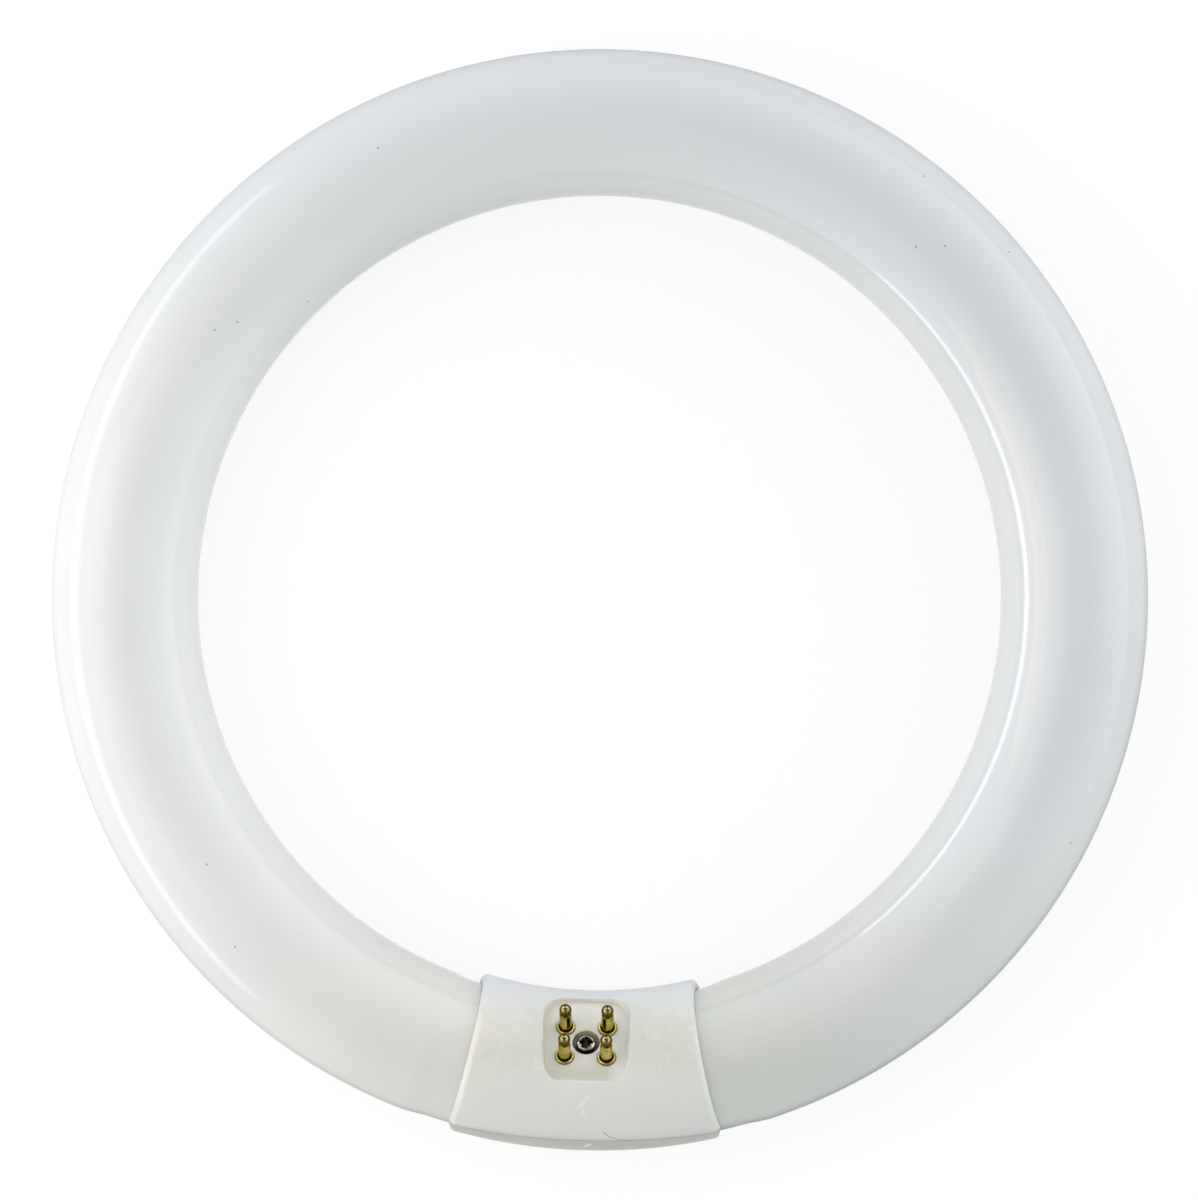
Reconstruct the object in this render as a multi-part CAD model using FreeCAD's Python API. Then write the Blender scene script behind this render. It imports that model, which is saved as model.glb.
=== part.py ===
import FreeCAD, Part
import math
import os

from FreeCAD import Placement, Rotation, Vector

# Circular fluorescent tube with a clamped four-pin cap.
# Millimetres and degrees. The ring lies flat, +Z up, with the cap at -Y and the origin
# under the middle of the ring, on the surface that the lamp rests on.

# Glass ring
RING_OUTER_DIA = 209.6      # across the ring, over the glass
TUBE_DIA = 28.0
NECK_DEPTH = 0.4            # how far the glass draws in where the cap grips it
NECK_TAPER = 5.0            # length over which it draws in
NECK_OUTSIDE = 0.8          # end of that taper, outside the cap's mouth
END_ROUND = 4.0             # rounded rim at each sealed end of the glass
END_CLEARANCE = 2.4         # from the pocket's wall to the glass ends
STEM_DISH_DIA = 13.0        # shallow dish in each end, round the stem
STEM_DISH_DEPTH = 1.5
EXHAUST_TIP_DIA = 3.6       # sealed-off pumping tube
EXHAUST_TIP_LENGTH = 4.0

# Cap, two half sleeves that meet on a plane square to the pins
CAP_LENGTH = 48.3           # along the ring's centre line, at the parting plane
CAP_WALL = 1.45             # mean wall of the sleeve
CAP_CLEARANCE = 0.2         # between the sleeve and the necked glass
CAP_INSET = 0.4             # the cap sits this much nearer to the ring's middle than the glass
MOUTH_BEVEL = 0.9           # bevelled edge at each mouth of the front half
REAR_BEVEL = 0.5            # and of the rear half
MOUTH_BULGE = 0.12          # how far that bevel swells out of a straight one
MOUTH_EDGE = 0.15           # flat left beside the bevel on the thin side of the wall
CAP_DRAFT = 6.5             # lean of each mouth, away from the parting plane
MOUTH_TURN = 6.0            # how far the mouths are turned from the ring's radius, towards each other
PIN_TILT = 35.0             # pins lean from the ring's axis towards its middle
LIP_HEIGHT = 1.2            # lap joint along the parting plane
LIP_THICKNESS = 0.5
LIP_CLEARANCE = 0.08
LIP_SETBACK = 3.5           # from each mouth to the end of the lap joint

# Pin pocket in the front half
POCKET_LENGTH = 15.5        # along the tube
POCKET_WIDTH = 17.6         # round the tube
POCKET_DEPTH = 3.25         # below the cap's crest
POCKET_CORNER = 4.0
POCKET_DRAFT = 7.0          # lean of the pocket's walls
POCKET_WALL = 1.2
PLATE_THICKNESS = 1.6
POCKET_SHIFT = -0.75        # of the pocket, its pins and screw, round the tube from the crest

# Contact pins
PIN_SPACING_ALONG = 7.92
PIN_SPACING_AROUND = 6.35
PIN_DIA = 2.3
PIN_LENGTH = 7.5            # from the pocket floor to the tip
PIN_HOLE_CLEARANCE = 0.05
PIN_FOOT_DIA = 2.5          # tapered foot inside the collar
PIN_FOOT_HEIGHT = 0.6
PIN_COLLAR_DIA = 3.3        # round bead on the pocket floor, with a groove inside it
PIN_COLLAR_WIDTH = 0.3
PIN_COLLAR_HEIGHT = 0.5
PIN_COLLAR_BASE = 0.12
PIN_SHANK_DIA = 1.9         # thinner stretch through the plate
PIN_TAIL_DIA = 3.4          # tail rolled over behind the plate
PIN_TAIL_HEIGHT = 0.5
PIN_BALL_LENGTH = 1.85      # ball tip, above the neck
PIN_NECK_DIA = 1.6
PIN_NECK_WIDTH = 0.35
PIN_DIMPLE_DIA = 1.1        # dent where the lead was crimped
PIN_DIMPLE_DEPTH = 0.4

# Lead wires
LEAD_DIA = 0.6
LEAD_CLEARANCE = 0.08       # in the hollow pin and in the glass seal
LEAD_BEND = 3.0             # centre-line radius
LEAD_SEAL = 2.0             # length held in the glass
LEAD_END_GAP = 0.3          # from the lead's end to the end of the pin's bore

# Clamp screw and the post that it bites into
SCREW_HEAD_DIA = 3.7
SCREW_HEAD_HEIGHT = 1.8
SCREW_HEAD_RIM = 1.2        # straight edge under the domed top
SCREW_HEAD_PROUD = 0.25     # above the pocket floor
SCREW_DIA = 2.2
SCREW_LENGTH = 12.0         # under the head
SCREW_POINT = 1.0           # tapered end
SCREW_HOLE_CLEARANCE = 0.2
SCREW_PILOT_CLEARANCE = 0.05
SCREW_PILOT_SPARE = 1.0
RECESS_SPAN = 2.6           # cross recess in the head
RECESS_WIDTH = 0.65
RECESS_DEPTH = 0.8
RECESS_MOUTH_DIA = 1.5      # wide middle of the cross
RECESS_FLOOR_DIA = 0.7
COUNTERBORE_DIA = 5.2
BOSS_WALL = 0.6             # round the counterbore, behind the plate
BOSS_SEAT = 1.2             # plastic under the screw head
POST_WALL = 1.6
POST_GAP = 0.3              # between the post and the boss

# Derived sizes
tube_r = TUBE_DIA / 2
neck_r = tube_r - NECK_DEPTH
ring_r = RING_OUTER_DIA / 2 - tube_r
bore_r = neck_r + CAP_CLEARANCE
cap_r = bore_r + CAP_WALL
cap_ring_r = ring_r - CAP_INSET
widest_bevel = CAP_WALL - CAP_INSET - MOUTH_EDGE
middle_z = cap_r
floor_u = cap_r - POCKET_DEPTH
plate_u = floor_u - PLATE_THICKNESS
glass_end = POCKET_LENGTH / 2 + POCKET_WALL + END_CLEARANCE
seat_u = floor_u + SCREW_HEAD_PROUD - SCREW_HEAD_HEIGHT
boss_u = seat_u - BOSS_SEAT
screw_r = SCREW_DIA / 2
pin_r = PIN_DIA / 2
shank_r = PIN_SHANK_DIA / 2
pin_neck_top = PIN_LENGTH - PIN_BALL_LENGTH
pin_neck_bottom = pin_neck_top - PIN_NECK_WIDTH
lead_r = LEAD_DIA / 2
lead_bore_r = lead_r + LEAD_CLEARANCE
pin_bore_top = pin_neck_bottom - lead_bore_r
reach = 4 * cap_r           # size of the blocks that cut or keep a whole side of the cap
wide_angle = math.degrees(CAP_LENGTH / cap_ring_r)
mouth_angle = wide_angle / 2
neck_start = CAP_LENGTH / 2 + cap_r * math.tan(math.radians(MOUTH_TURN)) + NECK_OUTSIDE

UP = Vector(0, 0, 1)
ORIGIN = Vector(0, 0, 0)
FRONT, REAR = 1, -1         # side of the parting plane that each half of the cap is on
SIDES = {"left": -1, "right": 1}
ROWS = {"inner": 1, "outer": -1}


def ring_angle(length):
    """Angle from the cap's middle at a distance along the glass centre line."""
    return math.degrees(length / ring_r)


def ring_circle(radius, centre_line, angle):
    """Circle across the ring, turned to an angle from the cap's middle."""
    circle = Part.makeCircle(radius, Vector(0, -centre_line, middle_z), Vector(1, 0, 0))
    circle.rotate(ORIGIN, UP, angle)
    return Part.Wire(circle)


def ring_arc(radius, centre_line, start, end):
    """Round solid that follows the ring from one angle to another."""
    disc = Part.Face(ring_circle(radius, centre_line, start))
    return disc.revolve(ORIGIN, UP, end - start)


# Frame of the cap: x along the tube, y round it, z along the pins
tilt = math.radians(PIN_TILT)
cap_centre = Vector(0, -cap_ring_r, middle_z)
pin_axis = Vector(0, math.sin(tilt), math.cos(tilt))
around_axis = Vector(0, math.cos(tilt), -math.sin(tilt))
cap_frame = Placement(cap_centre, Rotation(Vector(1, 0, 0), around_axis, pin_axis, "XYZ"))
pocket_frame = cap_frame.multiply(Placement(Vector(0, POCKET_SHIFT, 0), Rotation()))


def in_cap(shape):
    """Move a shape drawn in the cap's frame to its place."""
    shape.Placement = cap_frame.multiply(shape.Placement)
    return shape


def in_pocket(shape):
    """Move a shape drawn about the pocket's middle to its place."""
    shape.Placement = pocket_frame.multiply(shape.Placement)
    return shape


def turned(points, arcs=None):
    """Solid of revolution about z from (radius, height) points.

    arcs maps the number of a stretch to the point that its arc passes through.
    """
    arcs = arcs or {}
    corners = [Vector(radius, 0, height) for radius, height in points]
    edges = []
    for number, start in enumerate(corners):
        end = corners[(number + 1) % len(corners)]
        if number in arcs:
            radius, height = arcs[number]
            edges.append(Part.Arc(start, Vector(radius, 0, height), end).toShape())
        else:
            edges.append(Part.LineSegment(start, end).toShape())
    return Part.Face(Part.Wire(edges)).revolve(ORIGIN, UP, 360)


def cylinder(radius, bottom, top, x=0.0, y=0.0):
    return Part.makeCylinder(radius, top - bottom, Vector(x, y, bottom))


def rounded_rectangle(length, width, corner, level):
    """Closed outline centred on z, at a level along the pins."""
    bulge = corner * math.sqrt(0.5)
    edges = []
    for quarter, (x_sign, y_sign) in enumerate([(1, 1), (-1, 1), (-1, -1), (1, -1)]):
        middle = Vector(x_sign * (length / 2 - corner), y_sign * (width / 2 - corner), level)
        beside = middle + Vector(x_sign * corner, 0, 0)
        above = middle + Vector(0, y_sign * corner, 0)
        start, end = (beside, above) if quarter % 2 == 0 else (above, beside)
        crown = middle + Vector(x_sign * bulge, y_sign * bulge, 0)
        if edges:
            edges.append(Part.LineSegment(edges[-1].Vertexes[-1].Point, start).toShape())
        edges.append(Part.Arc(start, crown, end).toShape())
    edges.append(Part.LineSegment(edges[-1].Vertexes[-1].Point, edges[0].Vertexes[0].Point).toShape())
    return Part.Wire(edges)


def tray_form():
    """Block behind the pocket: its walls and the plate that carries the pins."""
    grow = 2 * (POCKET_WALL + POCKET_DEPTH * math.tan(math.radians(POCKET_DRAFT)))
    corner = POCKET_CORNER + grow / 2
    outline = rounded_rectangle(POCKET_LENGTH + grow, POCKET_WIDTH + grow, corner, plate_u)
    return in_pocket(Part.Face(outline).extrude(Vector(0, 0, cap_r - plate_u)))


def pocket_form():
    """The pocket itself, with leaning walls, reaching past the cap's crest."""
    rise = 2 * POCKET_DEPTH
    grow = rise * math.tan(math.radians(POCKET_DRAFT))
    mouth = rounded_rectangle(
        POCKET_LENGTH + 2 * grow, POCKET_WIDTH + 2 * grow, POCKET_CORNER + grow, floor_u + rise
    )
    floor = rounded_rectangle(POCKET_LENGTH, POCKET_WIDTH, POCKET_CORNER, floor_u)
    return in_pocket(Part.makeLoft([floor, mouth], True, True))


def slab(bottom, top):
    """Wide block between two levels along the pins."""
    block = Part.makeBox(2 * reach, 2 * reach, top - bottom, Vector(-reach, -reach, bottom))
    return in_cap(block)


def glass_end_form():
    """Sealed end of the glass: rounded rim, dish, and pumping tip, along its own axis."""
    rim_r = neck_r - END_ROUND
    dish_r = STEM_DISH_DIA / 2
    tip_r = EXHAUST_TIP_DIA / 2
    dish_floor = END_ROUND - STEM_DISH_DEPTH
    tip_end = dish_floor + EXHAUST_TIP_LENGTH
    bulge = math.sqrt(0.5)
    points = [
        (0, 0), (neck_r, 0), (rim_r, END_ROUND), (dish_r, END_ROUND),
        (dish_r - STEM_DISH_DEPTH, dish_floor), (tip_r, dish_floor),
        (tip_r, tip_end - tip_r), (0, tip_end),
    ]
    arcs = {
        1: (rim_r + bulge * END_ROUND, bulge * END_ROUND),
        6: (bulge * tip_r, tip_end - tip_r + bulge * tip_r),
    }
    return turned(points, arcs)


def glass_half_end():
    """Taper, neck and sealed end on the +X side of the cap."""
    shoulder = ring_angle(glass_end + END_ROUND)
    neck = ring_angle(neck_start)
    body = ring_angle(neck_start + NECK_TAPER)
    sections = [ring_circle(neck_r, ring_r, neck), ring_circle(tube_r, ring_r, body)]
    taper = Part.makeLoft(sections, True, True)
    end = glass_end_form()
    turn = Rotation(UP, shoulder).multiply(Rotation(UP, Vector(-1, 0, 0)))
    centre = Rotation(UP, shoulder).multVec(Vector(0, -ring_r, middle_z))
    end.Placement = Placement(centre, turn)
    return [taper, ring_arc(neck_r, ring_r, shoulder, neck), end]


def lead_places():
    """Name ending, x and y from the pocket's middle of each pin and its lead."""
    for side, x_sign in SIDES.items():
        for row, y_sign in ROWS.items():
            x = x_sign * PIN_SPACING_ALONG / 2
            y = y_sign * PIN_SPACING_AROUND / 2
            yield f"{side}_{row}", x, y


def lead_path(x, y):
    """Out of the glass along the tube, one bend, and up into the hollow pin."""
    sign = math.copysign(1, x)
    seal_x = sign * (ring_r * math.sin(math.radians(ring_angle(glass_end + STEM_DISH_DEPTH))) + LEAD_SEAL)
    bend_x = x + sign * LEAD_BEND
    side_step = LEAD_BEND * (1 - math.sqrt(0.5))
    run = Part.LineSegment(Vector(seal_x, y, 0), Vector(bend_x, y, 0))
    bend = Part.Arc(
        Vector(bend_x, y, 0),
        Vector(x + sign * side_step, y, side_step),
        Vector(x, y, LEAD_BEND),
    )
    rise = Part.LineSegment(Vector(x, y, LEAD_BEND), Vector(x, y, floor_u + pin_bore_top - LEAD_END_GAP))
    return Part.Wire([run.toShape(), bend.toShape(), rise.toShape()])


def lead_solid(x, y, radius):
    path = lead_path(x, y)
    start = path.Edges[0]
    circle = Part.makeCircle(radius, start.valueAt(start.FirstParameter), Vector(1, 0, 0))
    return in_pocket(path.makePipeShell([Part.Wire(circle)], True, False))


def make_glass():
    body = ring_angle(neck_start + NECK_TAPER)
    ring = ring_arc(tube_r, ring_r, body, 360 - body)
    right = glass_half_end()
    left = [piece.mirror(ORIGIN, Vector(1, 0, 0)) for piece in right]
    glass = ring.fuse(right + left)
    seals = [lead_solid(x, y, lead_bore_r) for _, x, y in lead_places()]
    return glass.cut(seals).removeSplitter()


def mouth_cutter(end, half):
    """Turned cutter that trims one mouth of the cap and bevels its edge.

    The mouth leans back from the parting plane, as the half's mould needs.
    """
    on_axis = Rotation(UP, end * mouth_angle).multVec(Vector(0, -cap_ring_r, middle_z))
    on_parting = on_axis - pin_axis * (on_axis - cap_centre).dot(pin_axis)
    along = Rotation(UP, end * (mouth_angle - MOUTH_TURN)).multVec(Vector(end, 0, 0))
    lean = math.radians(CAP_DRAFT)
    outward = along * math.cos(lean) + pin_axis * (half * math.sin(lean))
    centre = on_axis - along * ((on_axis - on_parting).dot(outward) / along.dot(outward))
    bevel = min(MOUTH_BEVEL if half == FRONT else REAR_BEVEL, widest_bevel)
    mouth_r = cap_r / math.cos(lean)
    inner_r = mouth_r - bevel
    crown = bevel / 2 - MOUTH_BULGE * math.sqrt(0.5)
    points = [
        (0, 0), (inner_r, 0), (mouth_r, -bevel),
        (reach, -bevel), (reach, reach), (0, reach),
    ]
    cutter = turned(points, {1: (mouth_r - crown, -crown)})
    cutter.Placement = Placement(centre, Rotation(UP, outward))
    return cutter


def sleeve_form(half):
    """Outer form of one half of the cap with leaning, bevelled mouths."""
    form = ring_arc(cap_r, cap_ring_r, -wide_angle, wide_angle)
    return form.cut([mouth_cutter(-1, half), mouth_cutter(1, half)])


def cavity(kept):
    """Inside of the sleeve, less what stands in it."""
    return ring_arc(bore_r, ring_r, -wide_angle, wide_angle).cut(kept)


def lap(clearance):
    """Core of the lap joint: out to a radius in the wall and up above the parting plane."""
    end = mouth_angle - ring_angle(LIP_SETBACK - clearance)
    core = ring_arc(bore_r + LIP_THICKNESS + clearance, ring_r, -end, end)
    return core.common(slab(-LIP_HEIGHT, LIP_HEIGHT + clearance))


def make_front_shell():
    boss = in_pocket(cylinder(COUNTERBORE_DIA / 2 + BOSS_WALL, boss_u, floor_u))
    rebate = lap(LIP_CLEARANCE)
    holes = [
        cylinder(COUNTERBORE_DIA / 2, seat_u, reach),
        cylinder(screw_r + SCREW_HOLE_CLEARANCE, 0, seat_u),
    ]
    holes += [cylinder(shank_r + PIN_HOLE_CLEARANCE, 0, floor_u, x, y) for _, x, y in lead_places()]
    shell = sleeve_form(FRONT).common(slab(0, reach))
    shell = shell.cut([cavity([tray_form(), boss]), rebate])
    return shell.cut([pocket_form()] + [in_pocket(hole) for hole in holes])


def make_rear_shell():
    post_r = screw_r + POST_WALL
    post_top = boss_u - POST_GAP
    post = in_pocket(cylinder(post_r, -reach, post_top))
    lip = lap(0)
    front_side = slab(0, reach).cut([lip, post])
    pilot_bottom = seat_u - SCREW_LENGTH - SCREW_PILOT_SPARE
    pilot = cylinder(screw_r + SCREW_PILOT_CLEARANCE, pilot_bottom, reach)
    return sleeve_form(REAR).cut([cavity([post]), front_side]).cut(in_pocket(pilot))


def make_pin(x, y):
    collar_r = PIN_COLLAR_DIA / 2
    groove_r = collar_r - PIN_COLLAR_WIDTH
    foot_r = PIN_FOOT_DIA / 2
    tail_r = PIN_TAIL_DIA / 2
    pin_neck_r = PIN_NECK_DIA / 2
    dimple_r = PIN_DIMPLE_DIA / 2
    tail_top = -PLATE_THICKNESS
    tail_bottom = tail_top - PIN_TAIL_HEIGHT
    ball_middle = pin_neck_top + PIN_BALL_LENGTH / 2
    points = [
        (lead_bore_r, tail_bottom), (tail_r, tail_bottom), (tail_r, tail_top), (shank_r, tail_top),
        (shank_r, 0), (collar_r, 0), (collar_r, PIN_COLLAR_BASE), (groove_r, PIN_COLLAR_BASE),
        (foot_r, PIN_COLLAR_BASE), (pin_r, PIN_FOOT_HEIGHT), (pin_r, pin_neck_bottom),
        (pin_neck_r, pin_neck_bottom), (pin_neck_r, pin_neck_top),
        (dimple_r, PIN_LENGTH), (0, PIN_LENGTH - PIN_DIMPLE_DEPTH),
        (0, pin_bore_top), (lead_bore_r, pin_bore_top),
    ]
    bead = 6
    ball = 12
    arcs = {
        bead: (collar_r - PIN_COLLAR_WIDTH / 2, PIN_COLLAR_HEIGHT),
        ball: (pin_r, ball_middle),
    }
    pin = turned(points, arcs)
    pin.translate(Vector(x, y, floor_u))
    return in_pocket(pin)


def make_screw():
    head_r = SCREW_HEAD_DIA / 2
    head_top = seat_u + SCREW_HEAD_HEIGHT
    tip = seat_u - SCREW_LENGTH
    dome = SCREW_HEAD_HEIGHT - SCREW_HEAD_RIM
    dome_r = (head_r ** 2 + dome ** 2) / (2 * dome)
    half_way = head_top - dome_r + math.sqrt(dome_r ** 2 - (head_r / 2) ** 2)
    points = [
        (0, tip), (screw_r / 2, tip), (screw_r, tip + SCREW_POINT), (screw_r, seat_u),
        (head_r, seat_u), (head_r, seat_u + SCREW_HEAD_RIM), (0, head_top),
    ]
    screw = turned(points, {5: (head_r / 2, half_way)})
    bar = Part.makeBox(
        RECESS_SPAN, RECESS_WIDTH, RECESS_DEPTH,
        Vector(-RECESS_SPAN / 2, -RECESS_WIDTH / 2, head_top - RECESS_DEPTH),
    )
    cross_bar = bar.copy()
    cross_bar.rotate(ORIGIN, UP, 90)
    middle = Part.makeCone(
        RECESS_FLOOR_DIA / 2, RECESS_MOUTH_DIA / 2, RECESS_DEPTH, Vector(0, 0, head_top - RECESS_DEPTH)
    )
    return in_pocket(screw.cut([bar, cross_bar, middle]))


def build():
    """All the pieces by name."""
    pieces = {
        "glass_tube": make_glass(),
        "cap_front_shell": make_front_shell(),
        "cap_rear_shell": make_rear_shell(),
        "clamp_screw": make_screw(),
    }
    for place, x, y in lead_places():
        pieces[f"contact_pin_{place}"] = make_pin(x, y)
        pieces[f"lead_wire_{place}"] = lead_solid(x, y, lead_r)
    return pieces


os.makedirs("parts", exist_ok=True)
for name, shape in build().items():
    shape.exportStep(f"parts/{name}.step")
    print(name, shape.isValid(), len(shape.Solids), round(shape.Volume, 2), shape.BoundBox)
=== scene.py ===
import math

import bpy
from mathutils import Matrix, Vector


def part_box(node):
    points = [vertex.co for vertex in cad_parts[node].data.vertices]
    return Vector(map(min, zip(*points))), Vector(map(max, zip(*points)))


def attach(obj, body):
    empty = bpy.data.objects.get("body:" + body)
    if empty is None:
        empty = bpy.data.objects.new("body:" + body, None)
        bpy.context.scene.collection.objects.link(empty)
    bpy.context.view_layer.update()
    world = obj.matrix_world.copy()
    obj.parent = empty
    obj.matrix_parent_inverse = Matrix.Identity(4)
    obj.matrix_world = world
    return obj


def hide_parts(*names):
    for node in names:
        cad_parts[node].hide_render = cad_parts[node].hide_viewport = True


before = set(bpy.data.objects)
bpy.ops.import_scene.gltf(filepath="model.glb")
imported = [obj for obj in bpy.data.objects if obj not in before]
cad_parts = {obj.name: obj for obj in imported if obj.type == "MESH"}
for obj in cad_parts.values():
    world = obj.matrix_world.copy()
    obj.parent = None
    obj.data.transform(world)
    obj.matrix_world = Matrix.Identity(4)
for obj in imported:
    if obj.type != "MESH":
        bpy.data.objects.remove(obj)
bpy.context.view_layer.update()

MM = 0.001
UP = Vector((0, 0, 1))

# Photograph and camera
PHOTO_WIDTH = 1198
PHOTO_HEIGHT = 1200
FOCAL_PX = 4708.0           # focal length in pixels of the photograph
CAMERA_HEIGHT = 900 * MM    # above the middle of the tube
CAMERA_SIDE = 22 * MM       # towards +X from straight above
CAMERA_AIM = (0.1 * MM, -0.48 * MM)
CAMERA_ROLL = 1.43          # degrees; the lamp lies turned by this much in the photograph
CAMERA_CLIP = 10 * MM
SENSOR = 36.0               # millimetres, along the photograph's longer side
SIGHT_STEPS = 80            # of the search along a line of sight

# Glass: what the frame's boxes do not give, as in the part's source
NECK_DEPTH = 0.4 * MM
NECK_TAPER = 5.0 * MM
NECK_START = 26.55 * MM     # from the cap's middle along the ring, where the glass draws in
GLASS_END = 11.35 * MM      # from the cap's middle along the ring, where the glass is sealed
END_ROUND = 4.0 * MM
DISH_R = 6.5 * MM
DISH_DEPTH = 1.5 * MM
TIP_R = 1.8 * MM
TIP_LENGTH = 4.0 * MM
TUBE_SIDES = 112
RING_STEPS = 720
TAPER_STEPS = 14
ROUND_STEPS = 8

# Cap and pins, as in the part's source
CAP_R = 15.25 * MM
CAP_INSET = 0.4 * MM
MOUTH_ANGLE = math.radians(15.3)
PIN_TILT = math.radians(35.0)
PIN_AXIS = Vector((0, math.sin(PIN_TILT), math.cos(PIN_TILT)))
AROUND_AXIS = Vector((0, math.cos(PIN_TILT), -math.sin(PIN_TILT)))
PIN_R = 1.15 * MM
PIN_X = 3.96 * MM
PIN_Y = 3.175 * MM
PIN_NECK = 5.3 * MM         # from the pocket floor
COLLAR_R = 1.65 * MM
COUNTERBORE_R = 2.6 * MM
POCKET_SHIFT = -0.75 * MM
POCKET_DEPTH = 3.25 * MM
POCKET_LENGTH = 15.5 * MM
POCKET_WIDTH = 17.6 * MM

# Marks on the surfaces, in pixels of the photograph
GLASS_SPECKS = [
    (295, 149), (254, 175.5), (214.5, 330), (237.6, 322), (308, 301.5), (378, 148), (924, 176),
    (916, 247), (945, 246), (1009, 252), (206.6, 864.5), (235, 947), (1070.6, 843),
]
SPECK_R = 0.24 * MM
CAP_FLECKS = [
    ((580.5, 1106.5), (587, 1098)),
    ((583, 1111), (583.5, 1114)),
    ((584.5, 1146.5), (590, 1144.5)),
]
CAP_HAIRLINE = [(604, 1132.5), (610, 1137), (619, 1139.5), (632, 1140.5)]

# Colours; a pair is the darker and the lighter tone of an uneven surface
GLASS_TONES = ((0.83, 0.863, 0.866), (0.865, 0.897, 0.90))
# painted shade: the far side's cooler, dimmer tone
GLASS_FAR_SIDE_PAINTED_SHADE = (0.805, 0.84, 0.85)
GLASS_LEFT_END = ((0.81, 0.825, 0.765), (0.845, 0.86, 0.80))
# the right end is darker by painted shade as well as end blackening
GLASS_RIGHT_END = ((0.73, 0.76, 0.70), (0.765, 0.795, 0.735))
# painted shade low on the glass's outer side
GLASS_LOW_PAINTED_SHADE = (0.30, 0.33, 0.30)
# painted light on the glass's inner side at the left
GLASS_INNER_PAINTED_LIGHT = (0.955, 0.98, 0.97)
GLASS_SPECK = (0.16, 0.14, 0.13)
PLASTIC_TONES = ((0.755, 0.77, 0.69), (0.85, 0.855, 0.785))
PLASTIC_YELLOWED = (0.84, 0.82, 0.72)
# painted light: paler low on the cap, cooler at its inner edge
PLASTIC_LOWER_PAINTED_LIGHT = (0.925, 0.935, 0.865)
PLASTIC_UPPER_PAINTED_LIGHT = (0.89, 0.93, 0.97)
# painted shade on the cap's rear half
PLASTIC_REAR_PAINTED_SHADE = (0.47, 0.49, 0.405)
PLASTIC_PARTING = (0.33, 0.34, 0.28)
PLASTIC_FLECK = (1.0, 0.99, 0.93)
PLASTIC_HAIRLINE = (0.22, 0.23, 0.2)
# painted light and shade in the pocket: paler floor, darker lower end and left wall, paler right side
POCKET_FLOOR = (0.93, 0.925, 0.835)
POCKET_FLOOR_LOW_PAINTED_SHADE = (0.68, 0.69, 0.60)
POCKET_LEFT_WALL_PAINTED_SHADE = (0.90, 0.895, 0.82)
POCKET_RIGHT_PAINTED_LIGHT = (1.0, 1.0, 0.96)
# painted shade in the counterbore and round the collars
BORE_PAINTED_SHADE = ((0.10, 0.095, 0.065), (0.93, 0.88, 0.58))
COLLAR_PAINTED_SHADE = (0.12, 0.10, 0.05)
BRASS_TONES = ((0.48, 0.40, 0.11), (0.80, 0.70, 0.27))
# tarnish and painted shade in the pins' grooves
BRASS_GROOVE_TARNISH_AND_SHADE = (0.05, 0.036, 0.015)
# painted dark reflection on the inner pins
BRASS_PAINTED_REFLECTION = (0.05, 0.02, 0.006)
# painted highlight and painted dark reflection on the pin tips, and a dark spot in each dent
BRASS_TIP_PAINTED_HIGHLIGHT = (0.38, 0.31, 0.19)
BRASS_TIP_PAINTED_REFLECTION = (0.06, 0.045, 0.016)
BRASS_DENT = (0.05, 0.03, 0.015)
BRASS_SHEEN = (0.7, 0.55, 0.3)
STEEL_TONES = ((0.42, 0.41, 0.37), (0.66, 0.65, 0.6))
# painted shade in the screw's recess and a painted highlight on its rim
STEEL_RECESS_PAINTED_SHADE = (0.02, 0.018, 0.014)
STEEL_RIM_PAINTED_HIGHLIGHT = (0.86, 0.85, 0.8)
LEAD_TONES = ((0.42, 0.38, 0.33), (0.66, 0.60, 0.52))

# Noise on the surfaces: scale per metre, detail and, where it isn't 0.5, roughness
GLASS_CLOUDS = (38, 3.0)
GLASS_GRAIN = (2600, 1.0)
GLASS_SMEARS = (120, 4.0)
GLASS_WAVES = (45, 2.0)
PLASTIC_CLOUDS = (160, 4.0, 0.6)
PLASTIC_GRAIN = (1300, 2.0)
PLASTIC_PITS = (900, 3.0)
BRASS_PATCHES = (900, 3.0)
STEEL_PATCHES = (1400, 3.0)
STEEL_SMEARS = (2200, 2.0)
LEAD_PATCHES = (1200, 2.0)
GLASS_CLOUD_SHARE = 0.7     # of the mottling; the rest is grain
PLASTIC_CLOUD_SHARE = 0.5
MOTTLE_RANGE = (0.36, 0.64)  # levels of the noise that give the two tones of a pair
PATCH_RANGE = (0.35, 0.65)

# Relief on the surfaces: depth and strength
GLASS_WAVE_RELIEF = (0.25 * MM, 0.35)
PLASTIC_PIT_RELIEF = (0.02 * MM, 0.6)
BRASS_TURNING_RELIEF = (0.002 * MM, 0.5)
STEEL_PATCH_RELIEF = (0.01 * MM, 0.4)
TURNING_PITCH = 0.12 * MM   # between the turned rings on a pin

# Finishes
GLASS_IOR = 1.5
GLASS_GLOSS = 0.5
PLASTIC_SUBSURFACE = 0.5
SUBSURFACE_RADIUS = (1.0, 0.92, 0.78)
SUBSURFACE_SCALE = 2 * MM
PLASTIC_EDGE_R = 0.35 * MM  # the cap's corners are shaded as if rounded by this much
BEVEL_SAMPLES = 6
OCCLUSION_SAMPLES = 8
YELLOWED_ANGLE = 0.86 * MOUTH_ANGLE     # to the left of the cap's middle
POCKET_WEIGHT = 0.95        # how far the pocket's colours cover the cap's own
GROOVE_REACH = 0.6 * MM
TIP_SPOT_SHIFT = 0.3             # of the painted highlight's spot from the pin's axis, to its lower side, in pin radii
LEAD_ROUGHNESS = 0.4

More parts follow.
